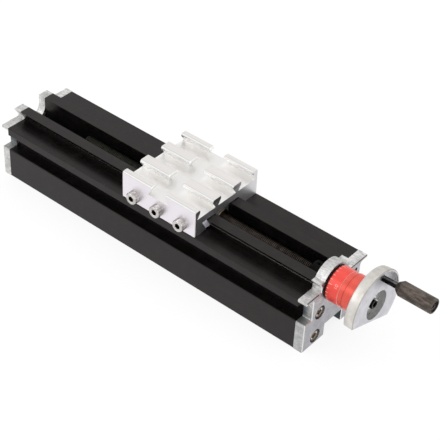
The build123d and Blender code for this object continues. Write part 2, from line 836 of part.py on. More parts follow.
# Lead nut: a brass barrel in the carriage's lug
with BuildPart() as lead_nut:
    with BuildSketch(line_plane(lug_rear)):
        Circle(nut_diameter / 2)
        Circle(screw_radius + nut_clearance, mode=Mode.SUBTRACT)
    extrude(amount=nut_length)
    outer_rims = lead_nut.edges().filter_by(GeomType.CIRCLE).group_by(SortBy.RADIUS)[-1]
    chamfer(outer_rims.sort_by(Axis.X)[-1], nut_chamfer)
lead_nut.part.label = "lead_nut"

with BuildPart() as nut_set_screw:
    barrel_bottom = screw_height - nut_diameter / 2
    with BuildSketch(
        Plane(
            origin=((lug_rear + lug_front) / 2, way_offset, barrel_bottom),
            x_dir=(1, 0, 0),
            z_dir=(0, 0, -1),
        )
    ):
        Circle(lug_screw_diameter / 2)
    extrude(amount=lug_wall - lug_screw_sink)
    with BuildSketch(nut_set_screw.faces().sort_by(Axis.Z)[0]):
        RegularPolygon(set_screw_socket_width / 2, 6, major_radius=False)
    extrude(amount=-set_screw_socket_depth, mode=Mode.SUBTRACT)
nut_set_screw.part.label = "nut_set_screw"

for piece in (
    bed_extrusion,
    front_end_plate,
    rear_end_plate,
    front_plate_screws,
    rear_plate_screws,
    spindle_bush,
    spacer_ring,
    lead_screw,
    thrust_washer,
    thrust_collar,
    collar_set_screw,
    dial_hub,
    dial_friction_ring,
    dial_ring,
    handwheel,
    handwheel_washer,
    handwheel_screw,
    crank_axle,
    crank_grip,
    carriage,
    gib_strip,
    gib_screws,
    lead_nut,
    nut_set_screw,
):
    export_step(piece.part, f"parts/{piece.part.label}.step")
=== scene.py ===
import json
import math

import bmesh
import bpy
from mathutils import Matrix, Vector


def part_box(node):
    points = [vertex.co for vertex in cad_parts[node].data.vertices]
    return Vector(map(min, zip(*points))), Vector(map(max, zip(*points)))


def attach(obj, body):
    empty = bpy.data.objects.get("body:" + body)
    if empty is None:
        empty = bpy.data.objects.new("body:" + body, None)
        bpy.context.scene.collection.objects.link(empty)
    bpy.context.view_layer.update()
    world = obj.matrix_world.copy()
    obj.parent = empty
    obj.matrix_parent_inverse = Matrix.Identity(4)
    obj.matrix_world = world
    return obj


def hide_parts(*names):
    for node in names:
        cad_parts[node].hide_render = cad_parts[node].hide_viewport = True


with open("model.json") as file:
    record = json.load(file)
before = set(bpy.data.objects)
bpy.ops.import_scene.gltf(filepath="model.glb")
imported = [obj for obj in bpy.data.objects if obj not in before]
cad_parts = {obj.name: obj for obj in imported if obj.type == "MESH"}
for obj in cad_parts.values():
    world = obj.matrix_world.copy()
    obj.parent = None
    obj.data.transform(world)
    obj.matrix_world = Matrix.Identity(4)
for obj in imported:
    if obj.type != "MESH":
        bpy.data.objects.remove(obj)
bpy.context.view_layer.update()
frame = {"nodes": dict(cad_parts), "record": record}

# Lengths are written in millimetres and turned into metres where they meet the scene.
MM = 0.001


def box_mm(node):
    """Lowest and highest corners of a CAD node at rest, in millimetres."""
    low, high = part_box(node)
    return Vector(low) / MM, Vector(high) / MM


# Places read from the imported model
screw_low, screw_high = box_mm("lead_screw")
line_y = (screw_low.y + screw_high.y) / 2
line_z = (screw_low.z + screw_high.z) / 2
collar_low = box_mm("thrust_collar")[0]
dial_low, dial_high = box_mm("dial_ring")
hub_low = box_mm("dial_hub")[0]
wheel_low, wheel_high = box_mm("handwheel")
grip_low, grip_high = box_mm("crank_grip")
grip_line = ((grip_low.y + grip_high.y) / 2, (grip_low.z + grip_high.z) / 2)
bed_high = box_mm("bed_extrusion")[1]
plate_high = box_mm("front_end_plate")[1]
carriage_low, carriage_high = box_mm("carriage")
carriage_top = carriage_high.z
cross_groove_x = (carriage_low.x + carriage_high.x) / 2

# Heights of the painted highlight line along the front flank of the bed's way
flank_highlight_low, flank_highlight_high = 34.5, 36.3
# Bearing boss, side slot, slot in the foot, wings and index hole of the end plates; the index hole's
# painted shade reaches past the hole
boss_radius, boss_foot = 11.0, 33.5
slot_wall, slot_floor, slot_roof = 19.4, 18.5, 31.5
foot_slot_front, foot_slot_back, foot_slot_top = 2.0, 10.0, 9.5
wing_start, wing_foot = 12.75, 25.5
index_hole, index_hole_shade_radius = (15.5, 29.0), 1.25
# Distance between the carriage's lengthwise grooves, how far its cross groove reaches to
# either side, and how far from the middle its outer sides begin
groove_pitch, cross_groove_reach, outer_sides_from = 16.1, 9.5, 23.3
# The handwheel's face is the wide end of its cone
wheel_face_radius, wheel_sink_radius, pocket_radius = 19.4, 8.1, 18.2
# The hub's neck ends in front of the dial
hub_neck_end = dial_high.x + 2.25
# End plate screws: an upper and a lower one on either side
plate_screws_low, plate_screws_high = box_mm("front_plate_screws")
plate_head, upper_screw_y = 7.0, -12.8
plate_screw_spots = (
    (upper_screw_y, plate_screws_high.z - plate_head / 2),
    (plate_screws_low.y + plate_head / 2, plate_screws_low.z + plate_head / 2),
)


class Surface:
    """One material, built node by node, in the rest frame of the piece that wears it."""

    def __init__(self, name):
        self.material = bpy.data.materials.new(name)
        self.material.use_nodes = True
        self.tree = self.material.node_tree
        self.tree.nodes.clear()
        coordinates = self.node("ShaderNodeTexCoord")
        self.position = coordinates.outputs["Object"]
        self.normal = coordinates.outputs["Normal"]

    def node(self, kind, **settings):
        """New node with its settings."""
        added = self.tree.nodes.new(kind)
        for key, value in settings.items():
            setattr(added, key, value)
        return added

    def feed(self, value, socket):
        """Links a node's output to a socket, or writes a number, direction or colour there."""
        if hasattr(value, "is_output"):
            self.tree.links.new(value, socket)
        elif socket.type == "RGBA":
            socket.default_value = (*value, 1.0)
        else:
            socket.default_value = value

    def math(self, operation, *values):
        """Result of one operation on numbers or outputs."""
        node = self.node("ShaderNodeMath", operation=operation)
        for value, socket in zip(values, node.inputs):
            self.feed(value, socket)
        return node.outputs[0]

    def times(self, *values):
        """Product of several values."""
        total = values[0]
        for value in values[1:]:
            total = self.math("MULTIPLY", total, value)
        return total

    def plus(self, value, extra, share=1.0):
        """Value with a share of another added."""
        return self.math("ADD", value, self.times(extra, share))

    def off(self, value, place):
        """Distance from a place, on either side of it."""
        return self.math("ABSOLUTE", self.math("SUBTRACT", value, place))

    def distance(self, across, up):
        """Length of a step across and up."""
        return self.math("SQRT", self.plus(self.times(across, across), self.times(up, up)))

    def along(self, axis):
        """Place along an axis, in millimetres."""
        node = self.node("ShaderNodeSeparateXYZ")
        self.feed(self.position, node.inputs[0])
        return self.times(node.outputs[axis], 1 / MM)

    def facing(self, axis):
        """How far the surface faces along an axis, from -1 to 1."""
        node = self.node("ShaderNodeSeparateXYZ")
        self.feed(self.normal, node.inputs[0])
        return node.outputs[axis]

    def radius(self, centre_y, centre_z):
        """Distance from a line along X, in millimetres."""
        across = self.math("SUBTRACT", self.along("Y"), centre_y)
        return self.distance(across, self.math("SUBTRACT", self.along("Z"), centre_z))

    def noise(self, scale, detail=3.0, roughness=0.5):
        """Noise, with its scale per metre; three scales stretch it into streaks."""
        node = self.node("ShaderNodeTexNoise")
        position = self.position
        if isinstance(scale, tuple):
            stretch = self.node("ShaderNodeVectorMath", operation="MULTIPLY")
            self.feed(position, stretch.inputs[0])
            self.feed(scale, stretch.inputs[1])
            position, scale = stretch.outputs[0], 1.0
        self.feed(position, node.inputs["Vector"])
        self.feed(scale, node.inputs["Scale"])
        self.feed(detail, node.inputs["Detail"])
        self.feed(roughness, node.inputs["Roughness"])
        return node.outputs["Fac"]

    def rings(self, value, scale, detail):
        """Noise along one value only, for turning marks."""
        node = self.node("ShaderNodeTexNoise", noise_dimensions="1D")
        self.feed(value, node.inputs["W"])
        self.feed(scale, node.inputs["Scale"])
        self.feed(detail, node.inputs["Detail"])
        return node.outputs["Fac"]

    def ramp(self, value, low, high, out_low=0.0, out_high=1.0):
        """Smooth change from one output to another while the value goes from low to high."""
        node = self.node("ShaderNodeMapRange", interpolation_type="SMOOTHSTEP")
        self.feed(value, node.inputs["Value"])
        self.feed(low, node.inputs["From Min"])
        self.feed(high, node.inputs["From Max"])
        self.feed(out_low, node.inputs["To Min"])
        self.feed(out_high, node.inputs["To Max"])
        return node.outputs["Result"]

    def rise(self, value, place, soft):
        """From 0 to 1 around a place."""
        return self.ramp(value, place - soft, place + soft)

    def fall(self, value, place, soft):
        """From 1 to 0 around a place."""
        return self.ramp(value, place - soft, place + soft, 1.0, 0.0)

    def band(self, value, low, high, soft):
        """1 between two places and 0 outside them."""
        return self.times(self.rise(value, low, soft), self.fall(value, high, soft))

    def mix(self, factor, first, second):
        """First colour where the factor is 0, second where it is 1."""
        node = self.node("ShaderNodeMix", data_type="RGBA")
        self.feed(factor, node.inputs["Factor"])
        first_socket, second_socket = [s for s in node.inputs if s.type == "RGBA"]
        self.feed(first, first_socket)
        self.feed(second, second_socket)
        return [s for s in node.outputs if s.type == "RGBA"][0]

    def cover(self, base, colour, *amounts):
        """Base colour, covered by another where every amount is high."""
        return self.mix(self.times(*amounts), base, colour)

    def shade(self, colour, factor):
        """Colour multiplied by a number."""
        node = self.node("ShaderNodeVectorMath", operation="SCALE")
        self.feed(colour, node.inputs[0])
        self.feed(factor, node.inputs["Scale"])
        return node.outputs[0]

    def bump(self, height, strength, distance, after=None):
        """Fine relief over the relief that comes before it."""
        node = self.node("ShaderNodeBump")
        self.feed(height, node.inputs["Height"])
        self.feed(strength, node.inputs["Strength"])
        self.feed(distance * MM, node.inputs["Distance"])
        if after is not None:
            self.feed(after, node.inputs["Normal"])
        return node.outputs["Normal"]

    def show(self, shader):
        """Makes a shader the look of the material."""
        output = self.node("ShaderNodeOutputMaterial")
        self.feed(shader, output.inputs["Surface"])
        return self.material

    def finish(self, colour, roughness, normal=None, metallic=0.0, **constants):
        """Material with this colour, roughness and relief."""
        shader = self.node("ShaderNodeBsdfPrincipled")
        self.feed(colour, shader.inputs["Base Color"])
        self.feed(roughness, shader.inputs["Roughness"])
        self.feed(metallic, shader.inputs["Metallic"])
        if normal is not None:
            self.feed(normal, shader.inputs["Normal"])
        for key, value in constants.items():
            self.feed(value, shader.inputs[key.replace("_", " ")])
        return self.show(shader.outputs["BSDF"])


def bed_black():
    """Black anodised extrusion: die lines along X, brown and green clouds, a rubbed way, and a painted
    highlight line on the way's front flank.
    """
    skin = Surface("bed_black")
    lines = skin.noise((6.0, 2600.0, 2600.0), 4.0, 0.7)
    cloud = skin.noise(160.0, 4.0, 0.6)
    tint = skin.noise(70.0, 2.0)
    rub = skin.noise((14.0, 700.0, 700.0), 5.0, 0.75)
    z = skin.along("Z")
    base = skin.mix(skin.ramp(lines, 0.3, 0.7), (0.0022, 0.0018, 0.0018), (0.0050, 0.0042, 0.0040))
    base = skin.cover(base, (0.0105, 0.0085, 0.0080), skin.ramp(cloud, 0.45, 0.7), 0.6)
    green = skin.times(skin.ramp(tint, 0.45, 0.65), skin.ramp(cloud, 0.3, 0.55, 1.0, 0.0))
    base = skin.cover(base, (0.0045, 0.0060, 0.0040), green, 0.5)
    on_way = skin.rise(z, bed_high.z - 0.3, 0.2)
    base = skin.cover(base, (0.026, 0.022, 0.019), on_way, skin.ramp(rub, 0.56, 0.72), 0.3)
    # Painted highlight: a pale line along the way's front flank, stronger toward the handwheel
    faces_front = skin.fall(skin.facing("Y"), -0.75, 0.05)
    faces_down = skin.fall(skin.facing("Z"), -0.35, 0.05)
    flank_painted_highlight = skin.times(faces_front, faces_down, skin.band(z, flank_highlight_low, flank_highlight_high, 0.3))
    toward_wheel = skin.ramp(skin.along("X"), -100.0, 70.0, 0.12, 1.0)
    base = skin.cover(base, (0.165, 0.150, 0.140), flank_painted_highlight, toward_wheel)
    rough = skin.plus(skin.ramp(lines, 0.2, 0.8, 0.22, 0.32), cloud, 0.06)
    normal = skin.bump(lines, 0.18, 0.02)
    normal = skin.bump(skin.noise(5200.0, 2.0), 0.08, 0.01, normal)
    return skin.finish(base, rough, normal, Specular_IOR_Level=0.285, Specular_Tint=(1.0, 0.89, 0.88))


def plate_metal():
    """Blasted cast aluminium: pits, clouds and handling marks, with painted shade low down on the front
    plate, and painted light on faces looking along +X, the boss, the slots and the edges.
    """
    skin = Surface("plate_metal")
    cloud = skin.noise(240.0, 5.0, 0.65)
    blotch = skin.noise(800.0, 3.0, 0.6)
    pits = skin.noise(2600.0, 3.0, 0.6)
    scratches = skin.noise((420.0, 2200.0, 420.0), 3.0, 0.6)
    brushed = skin.noise((260.0, 2300.0, 2300.0), 3.0, 0.65)
    # Painted shade: the front plate is painted greyer low down, and the rear plate stays pale
    on_rear_plate = skin.fall(skin.along("X"), 0.0, 1.0)
    pale = skin.math("MAXIMUM", skin.ramp(skin.along("Z"), 12.0, 32.0), on_rear_plate)
    light = skin.mix(pale, (0.47, 0.47, 0.475), (0.66, 0.655, 0.645))
    dark = skin.mix(pale, (0.38, 0.38, 0.385), (0.50, 0.495, 0.49))
    base = skin.mix(skin.ramp(cloud, 0.38, 0.62), dark, light)
    base = skin.cover(base, (0.36, 0.37, 0.36), skin.ramp(blotch, 0.42, 0.62), 0.35)
    base = skin.cover(base, (0.22, 0.22, 0.215), skin.ramp(pits, 0.60, 0.78), 0.4)
    base = skin.cover(base, (0.84, 0.83, 0.82), skin.ramp(scratches, 0.60, 0.70), 0.45)
    base = skin.shade(base, skin.ramp(brushed, 0.35, 0.65, 0.96, 1.27))
    # Painted light: faces looking along +X are painted a cooler, darker grey for how the light falls on
    # them
    base = skin.cover(base, (0.42, 0.41, 0.46), skin.ramp(skin.facing("X"), 0.9, 0.97), 0.45)
    base = boss_shades(skin, base)
    base = side_slot_shades(skin, base)
    base = plate_edge_shades(skin, base)
    rough = skin.plus(skin.ramp(cloud, 0.3, 0.7, 0.54, 0.46), pits, 0.08)
    normal = skin.bump(pits, 0.3, 0.03)
    normal = skin.bump(blotch, 0.15, 0.05, normal)
    return skin.finish(base, rough, normal, 1.0)


def boss_shades(skin, base):
    """Bearing boss: painted highlight toward the front, painted shade over the top and behind."""
    above_foot = skin.rise(skin.along("Z"), boss_foot, 0.5)
    on_boss = skin.times(above_foot, skin.fall(skin.off(skin.along("Y"), line_y), boss_radius, 0.2))
    tone = skin.ramp(skin.facing("Y"), -0.6, 0.1, 0.12, -0.16)
    return skin.shade(base, skin.plus(1.0, on_boss, tone))


def side_slot_shades(skin, base):
    """Side slots of the end plates: inner wall painted dark and ledge painted grey as shade, and the
    ledge's edges painted bright as highlights.
    """
    x, y, z = map(skin.along, "XYZ")
    out = skin.off(y, 0.0)
    faces_up = skin.facing("Z")
    # Painted shade: the slot's inner wall is dark, most toward the bed
    wall = skin.times(
        skin.band(out, slot_wall - 0.3, slot_wall + 0.3, 0.1),
        skin.band(z, slot_floor, slot_roof, 0.2),
        skin.ramp(x, bed_high.x, plate_high.x - 1.6, 0.9, 0.0),
        skin.ramp(z, slot_floor, slot_floor + 3.0, 0.5, 1.0),
    )
    base = skin.cover(base, (0.09, 0.12, 0.135), wall)
    # Painted shade: the ledge is grey, darker toward the bed
    ledge_painted_shade = skin.mix(skin.ramp(x, bed_high.x, plate_high.x), (0.17, 0.18, 0.17), (0.42, 0.43, 0.41))
    low_enough = skin.ramp(z, slot_floor, slot_floor + 1.0, 0.6, 0.0)
    base = skin.cover(base, ledge_painted_shade, skin.ramp(faces_up, 0.8, 0.95), low_enough)
    # Painted highlights along the ledge's inner and outer edges
    inner_edge = skin.fall(out, slot_wall + 0.4, 0.1)
    outer_edge = skin.rise(out, plate_high.y - 0.45, 0.15)
    edges = skin.math("MAXIMUM", inner_edge, outer_edge)
    at_ledge = skin.band(z, slot_floor - 1.0, slot_floor + 1.0, 0.2)
    on_front_plate = skin.ramp(x, 0.0, 10.0)
    edges = skin.times(edges, skin.ramp(faces_up, 0.4, 0.6), at_ledge, on_front_plate)
    return skin.cover(base, (0.93, 0.93, 0.91), edges)


def plate_edge_shades(skin, base):
    """Painted shade, reflection and highlights on the slot in the foot, the outer chamfer and the index
    hole of the end plates.
    """
    x, y, z = map(skin.along, "XYZ")
    faces_side, faces_up = skin.facing("Y"), skin.facing("Z")
    # Painted reflection: the side of the slot in the foot is painted dark, as it mirrors the dark bed
    across_slot = skin.band(y, foot_slot_front, foot_slot_back, 0.5)
    in_foot = skin.times(across_slot, skin.fall(z, foot_slot_top, 0.5))
    base = skin.cover(base, (0.05, 0.065, 0.065), skin.fall(faces_side, -0.9, 0.05), in_foot)
    # Painted shade and highlight: the chamfer is painted dark where it looks up and bright where it looks
    # to the side
    chamfer = skin.fall(skin.off(skin.facing("X"), 0.7), 0.12, 0.04)
    on_wing = skin.times(skin.rise(skin.off(y, line_y), wing_start, 0.25), skin.rise(z, wing_foot, 0.5))
    base = skin.cover(base, (0.09, 0.075, 0.07), chamfer, on_wing, skin.ramp(faces_up, 0.3, 0.6, 0.0, 0.85))
    base = skin.cover(base, (0.88, 0.88, 0.87), chamfer, skin.ramp(faces_side, -0.6, -0.3, 0.8, 0.0))
    # Painted shade: the index hole and a ring round it are painted black
    hole = skin.fall(skin.radius(*index_hole), index_hole_shade_radius, 0.1)
    on_front_plate = skin.ramp(x, 0.0, 10.0)
    return skin.cover(base, (0.004, 0.004, 0.004), hole, on_front_plate)


def carriage_metal():
    """Milled, clear anodised aluminium with faint cutter marks along it, painted light in its grooves and
    painted shade on its end.
    """
    skin = Surface("carriage_metal")
    cutter = skin.noise((25.0, 1900.0, 1900.0), 4.0, 0.7)
    grain = skin.noise(3800.0, 2.0)
    cloud = skin.noise(70.0, 3.0)
    base = skin.mix(skin.ramp(cutter, 0.3, 0.7), (0.745, 0.722, 0.705), (0.795, 0.77, 0.748))
    base = skin.cover(base, (0.72, 0.73, 0.715), skin.ramp(cloud, 0.45, 0.75), 0.3)
    base = groove_shades(skin, base)
    base = carriage_end_shades(skin, base)
    rough = skin.plus(skin.ramp(cutter, 0.25, 0.75, 0.36, 0.42), grain, 0.05)
    normal = skin.bump(cutter, 0.02, 0.02)
    normal = skin.bump(grain, 0.03, 0.01, normal)
    return skin.finish(base, rough, normal, 1.0)


def groove_shades(skin, base):
    """Painted light on the floors and sides of the grooves, pale to make up for the light lost between the
    pads.
    """
    x, y, z = map(skin.along, "XYZ")
    faces_side, faces_up = skin.facing("Y"), skin.facing("Z")
    faces_end = skin.off(skin.facing("X"), 0.0)
    in_groove = skin.fall(z, carriage_top - 1.5, 0.3)
    off_cross = skin.off(x, cross_groove_x)
    # Painted light: a floor is palest beside the pads behind it
    behind_groove = skin.ramp(skin.math("WRAP", y, groove_pitch / 2, -groove_pitch / 2), 0.0, 5.0)
    near_pad = skin.times(behind_groove, skin.ramp(off_cross, 3.0, 6.0))
    floor_painted_light = skin.mix(near_pad, (0.815, 0.800, 0.785), (0.945, 0.930, 0.915))
    base = skin.cover(base, floor_painted_light, in_groove, skin.ramp(faces_up, 0.8, 0.95))
    # Front wall, painted a lavender tint for how the light falls on it
    base = skin.cover(base, (0.85, 0.815, 0.86), skin.ramp(faces_side, -0.97, -0.9, 1.0, 0.0))
    # Painted light on the undercut sides of the pads; on their noses, painted shade above and painted light
    # below
    inside = skin.fall(skin.off(y, 0.0), outer_sides_from, 0.3)
    upright = skin.times(skin.fall(faces_up, 0.55, 0.15), skin.fall(faces_end, 0.75, 0.15))
    base = skin.cover(base, (0.955, 0.955, 0.945), in_groove, inside, upright)
    nose = skin.times(skin.fall(faces_side, -0.2, 0.08), skin.rise(z, carriage_top - 1.4, 0.1))
    base = skin.cover(base, (0.62, 0.61, 0.60), nose, skin.ramp(faces_up, 0.1, 0.5))
    base = skin.cover(base, (0.98, 0.975, 0.965), nose, inside, skin.fall(faces_up, 0.4, 0.15))
    # Painted light on the ends of the pads in the cross groove
    in_cross = skin.fall(off_cross, cross_groove_reach, 0.5)
    pad_ends = skin.times(skin.rise(z, carriage_top - 5.5, 0.1), skin.ramp(faces_end, 0.5, 0.8))
    return skin.cover(base, (0.955, 0.965, 0.95), pad_ends, in_cross)


def carriage_end_shades(skin, base):
    """End toward the handwheel: painted grey shade, and darker painted shade on the ends of all pads but
    the rearmost.
    """
    outside_cross = skin.rise(skin.off(skin.along("X"), cross_groove_x), cross_groove_reach + 1.0, 0.5)
    end_face = skin.times(skin.ramp(skin.facing("X"), 0.8, 0.95), outside_cross)
    base = skin.cover(base, (0.68, 0.68, 0.70), end_face, 0.85)
    high_up = skin.rise(skin.along("Z"), carriage_top - 2.8, 0.2)
    before_last_pad = skin.fall(skin.along("Y"), 15.5, 0.5)
    return skin.cover(base, (0.25, 0.24, 0.23), end_face, high_up, before_last_pad, 0.6)


def handwheel_metal():
    """Cast wheel: a turned rim painted warm and a face painted cool for how the light falls on them, and a
    darker sink round the screw, with turning marks.
    """
    skin = Surface("handwheel_metal")
    x, z = skin.along("X"), skin.along("Z")
    radius = skin.radius(line_y, line_z)
    cloud = skin.noise(160.0, 5.0, 0.6)
    blotch = skin.noise(800.0, 3.0, 0.6)
    pits = skin.noise(2400.0, 3.0, 0.6)
    turning = skin.rings(radius, 9.0, 3.0)
    clouded = skin.ramp(cloud, 0.35, 0.65)
    # Painted light: the face is a cool grey and the rim a warm one, tints for how the light falls on them
    face = skin.mix(clouded, (0.60, 0.595, 0.63), (0.69, 0.685, 0.715))
    rim = skin.mix(clouded, (0.59, 0.56, 0.525), (0.73, 0.70, 0.66))
    rim = skin.cover(rim, (0.60, 0.63, 0.60), skin.ramp(blotch, 0.5, 0.7), 0.4)
    # Painted light on the rim: paler and cooler low down, darker near its top
    rim = skin.cover(rim, (0.70, 0.66, 0.70), skin.fall(z, line_z - 5.0, 7.0))
    rim = skin.shade(rim, skin.ramp(z, line_z + 10.0, line_z + 18.0, 1.0, 0.88))
    sink = skin.mix(skin.ramp(turning, 0.35, 0.65), (0.38, 0.39, 0.37), (0.60, 0.605, 0.58))
    sink = skin.shade(sink, skin.ramp(blotch, 0.35, 0.65, 0.75, 1.05))
    in_sink = skin.fall(radius, wheel_sink_radius, 0.1)
    base = skin.mix(skin.rise(radius, wheel_face_radius - 0.8, 0.3), face, rim)
    base = skin.mix(in_sink, base, sink)
    base = skin.cover(base, (0.38, 0.37, 0.36), skin.ramp(pits, 0.62, 0.8), 0.35)
    # Painted shade: the edge round the face is a thin darker line; painted light: the crank pocket's wall
    # is pale
    at_edge = skin.band(x, wheel_high.x - 0.5, wheel_high.x - 0.08, 0.05)
    outside_sink = skin.rise(radius, wheel_sink_radius + 0.6, 0.3)
    base = skin.cover(base, (0.30, 0.29, 0.28), at_edge, outside_sink, 0.55)
    pocket_wall = skin.band(radius, pocket_radius - 0.25, pocket_radius + 0.15, 0.05)
    pocket_depth = skin.band(x, wheel_high.x - 3.6, wheel_high.x - 0.5, 0.1)
    base = skin.cover(base, (0.97, 0.97, 0.96), pocket_wall, pocket_depth)
    rough = skin.plus(skin.ramp(cloud, 0.3, 0.7, 0.48, 0.40), pits, 0.08)
    normal = skin.bump(pits, 0.25, 0.03)
    normal = skin.bump(blotch, 0.12, 0.04, normal)
    normal = skin.bump(skin.times(turning, in_sink), 0.25, 0.04, normal)
    return skin.finish(base, rough, normal, 1.0)


def red_anodised(name, light, dark, turning, lines, gloss=0.5):
    """Red anodised, turned aluminium, with painted lines of shade and highlight round it at given places
    along X.

    A line is its place, half its width, its colour and its strength.
    """
    skin = Surface(name)
    x = skin.along("X")
    rings = skin.rings(x, turning, 2.0)
    cloud = skin.noise(260.0, 3.0)
    base = skin.mix(skin.ramp(rings, 0.3, 0.7), dark, light)
    base = skin.cover(base, [tone * 0.75 for tone in dark], skin.ramp(cloud, 0.5, 0.8), 0.3)
    # Each line is painted light: shade on the hub, a highlight on the dial
    for place, half_width, colour, strength in lines:
        on_line = skin.ramp(skin.off(x, place), half_width, half_width + 0.2, strength, 0.0)
        base = skin.cover(base, colour, on_line)
    rough = skin.ramp(cloud, 0.3, 0.7, 0.22, 0.30)
    return skin.finish(base, rough, skin.bump(rings, 0.15, 0.02), 0.3, Specular_IOR_Level=gloss)


def steel(name, light, dark, roughness, metallic=1.0, gloss=0.5):
    """Turned or plated steel with fine grain and soft blotches."""
    skin = Surface(name)
    cloud = skin.noise(420.0, 4.0)
    grain = skin.noise(4200.0, 2.0, 0.6)
    lines = skin.noise((2400.0, 60.0, 60.0), 3.0, 0.6)
    base = skin.mix(skin.ramp(cloud, 0.3, 0.7), dark, light)
    base = skin.cover(base, [tone * 0.7 for tone in dark], skin.ramp(lines, 0.5, 0.75), 0.3)
    rough = skin.plus(skin.ramp(cloud, 0.3, 0.7, roughness + 0.06, roughness - 0.04), grain, 0.05)
    return skin.finish(base, rough, skin.bump(grain, 0.12, 0.01), metallic, Specular_IOR_Level=gloss)


def streaked_steel(name, dull_tone, highlight_tone, spots, across, start, end, reach, painted_shade_from):
    """Screw heads with one painted highlight streak and a painted dark ring of shade round their edge.

    `spots` are the centres in Y and Z of the heads on the front half, upper first. `across` is
    the direction across the streak, `start` and `end` are its limits that way, and `reach` is
    how far it goes from the centre.
    """
    skin = Surface(name)
    z = skin.along("Z")
    grain = skin.noise(4200.0, 2.0, 0.6)
    cloud = skin.noise(700.0, 3.0)
    (upper_y, upper_z), (lower_y, lower_z) = spots[0], spots[-1]
    is_upper = skin.math("GREATER_THAN", z, (upper_z + lower_z) / 2)
    centre_y = skin.plus(lower_y, is_upper, upper_y - lower_y)
    centre_z = skin.plus(lower_z, is_upper, upper_z - lower_z)
    # Heads on the back half are seen as their mirror images on the front half
    front_y = skin.times(skin.off(skin.along("Y"), 0.0), -1.0)
    step_y = skin.math("SUBTRACT", front_y, centre_y)
    step_z = skin.math("SUBTRACT", z, centre_z)
    crossing = skin.plus(skin.times(step_y, across[0]), step_z, across[1])
    off_centre = skin.distance(step_y, step_z)
    streak = skin.times(skin.band(crossing, start, end, 0.15), skin.fall(off_centre, reach - 0.1, 0.1))
    base = skin.mix(skin.ramp(cloud, 0.35, 0.65), [tone * 0.75 for tone in dull_tone], dull_tone)
    # Painted highlight streak, then painted shade on the head's outer ring
    base = skin.cover(base, highlight_tone, streak)
    base = skin.cover(base, (0.018, 0.015, 0.013), skin.rise(off_centre, painted_shade_from + 0.1, 0.1))
    rough = skin.plus(skin.ramp(cloud, 0.3, 0.7, 0.34, 0.26), grain, 0.05)
    return skin.finish(base, rough, skin.bump(grain, 0.12, 0.01), 1.0)


def gib_screw_steel():
    """Plated gib screw heads with darker knurling along Y, painted shade that is heavier on the lower side.
    """
    skin = Surface("gib_screw_steel")
    cloud = skin.noise(420.0, 4.0)
    knurl = skin.noise((2300.0, 90.0, 2300.0), 3.0, 0.6)
    grain = skin.noise(4200.0, 2.0, 0.6)
    base = skin.mix(skin.ramp(cloud, 0.3, 0.7), (0.49, 0.47, 0.45), (0.68, 0.655, 0.635))
    # Painted shade in the knurling of the sides, heavier where they face down
    side = skin.fall(skin.off(skin.facing("Y"), 0.0), 0.45, 0.15)
    knurl_painted_shade = skin.ramp(skin.facing("Z"), 0.5, 0.9, 0.75, 0.3)
    base = skin.cover(base, (0.17, 0.145, 0.12), side, knurl_painted_shade, skin.ramp(knurl, 0.42, 0.6))
    rough = skin.plus(skin.ramp(cloud, 0.3, 0.7, 0.28, 0.20), grain, 0.05)
    return skin.finish(base, rough, skin.bump(grain, 0.12, 0.01), 1.0)


def grip_dark():
    """Dark turned grip: grey-brown with paler streaks, olive on its cone, and painted shade round the
    recess at its end.
    """
    skin = Surface("grip_dark")
    x = skin.along("X")
    streaks = skin.noise((160.0, 700.0, 700.0), 4.0, 0.7)
    speckle = skin.noise(1400.0, 3.0, 0.7)
    base = skin.mix(skin.ramp(streaks, 0.35, 0.65), (0.058, 0.045, 0.039), (0.145, 0.116, 0.101))
    base = skin.cover(base, (0.18, 0.15, 0.13), skin.ramp(speckle, 0.6, 0.75), 0.35)
    # Painted shade: the end face and mouth of the recess are near black
    at_end = skin.ramp(x, grip_high.x - 0.6, grip_high.x - 0.35, 0.0, 0.95)
    base = skin.cover(base, (0.005, 0.004, 0.004), at_end, skin.fall(skin.radius(*grip_line), 3.3, 0.15))
    olive = skin.times(skin.ramp(skin.noise(190.0, 2.0), 0.5, 0.62), 0.55)
    cone = skin.ramp(x, grip_low.x + 1.8, grip_low.x + 2.8, 0.8, 0.0)
    base = skin.cover(base, (0.040, 0.039, 0.028), skin.math("MAXIMUM", olive, cone))
    rough = skin.ramp(speckle, 0.3, 0.7, 0.42, 0.54)
    normal = skin.bump(streaks, 0.15, 0.03)
    normal = skin.bump(speckle, 0.12, 0.015, normal)
    return skin.finish(base, rough, normal, 0.25, Specular_IOR_Level=0.10)


def spacer_black():
    """Black ring with a painted red reflection of the dial where it meets it."""
    skin = Surface("spacer_black")
    grain = skin.noise(2600.0, 3.0)
    base = skin.mix(skin.ramp(grain, 0.3, 0.7), (0.002, 0.002, 0.002), (0.005, 0.004, 0.004))
    painted_dial_reflection = skin.ramp(skin.along("X"), dial_low.x - 0.6, dial_low.x - 0.1, 0.0, 0.8)
    base = skin.cover(base, (0.20, 0.022, 0.016), painted_dial_reflection)
    return skin.finish(base, skin.ramp(grain, 0.3, 0.7, 0.35, 0.45), Specular_IOR_Level=0.08)


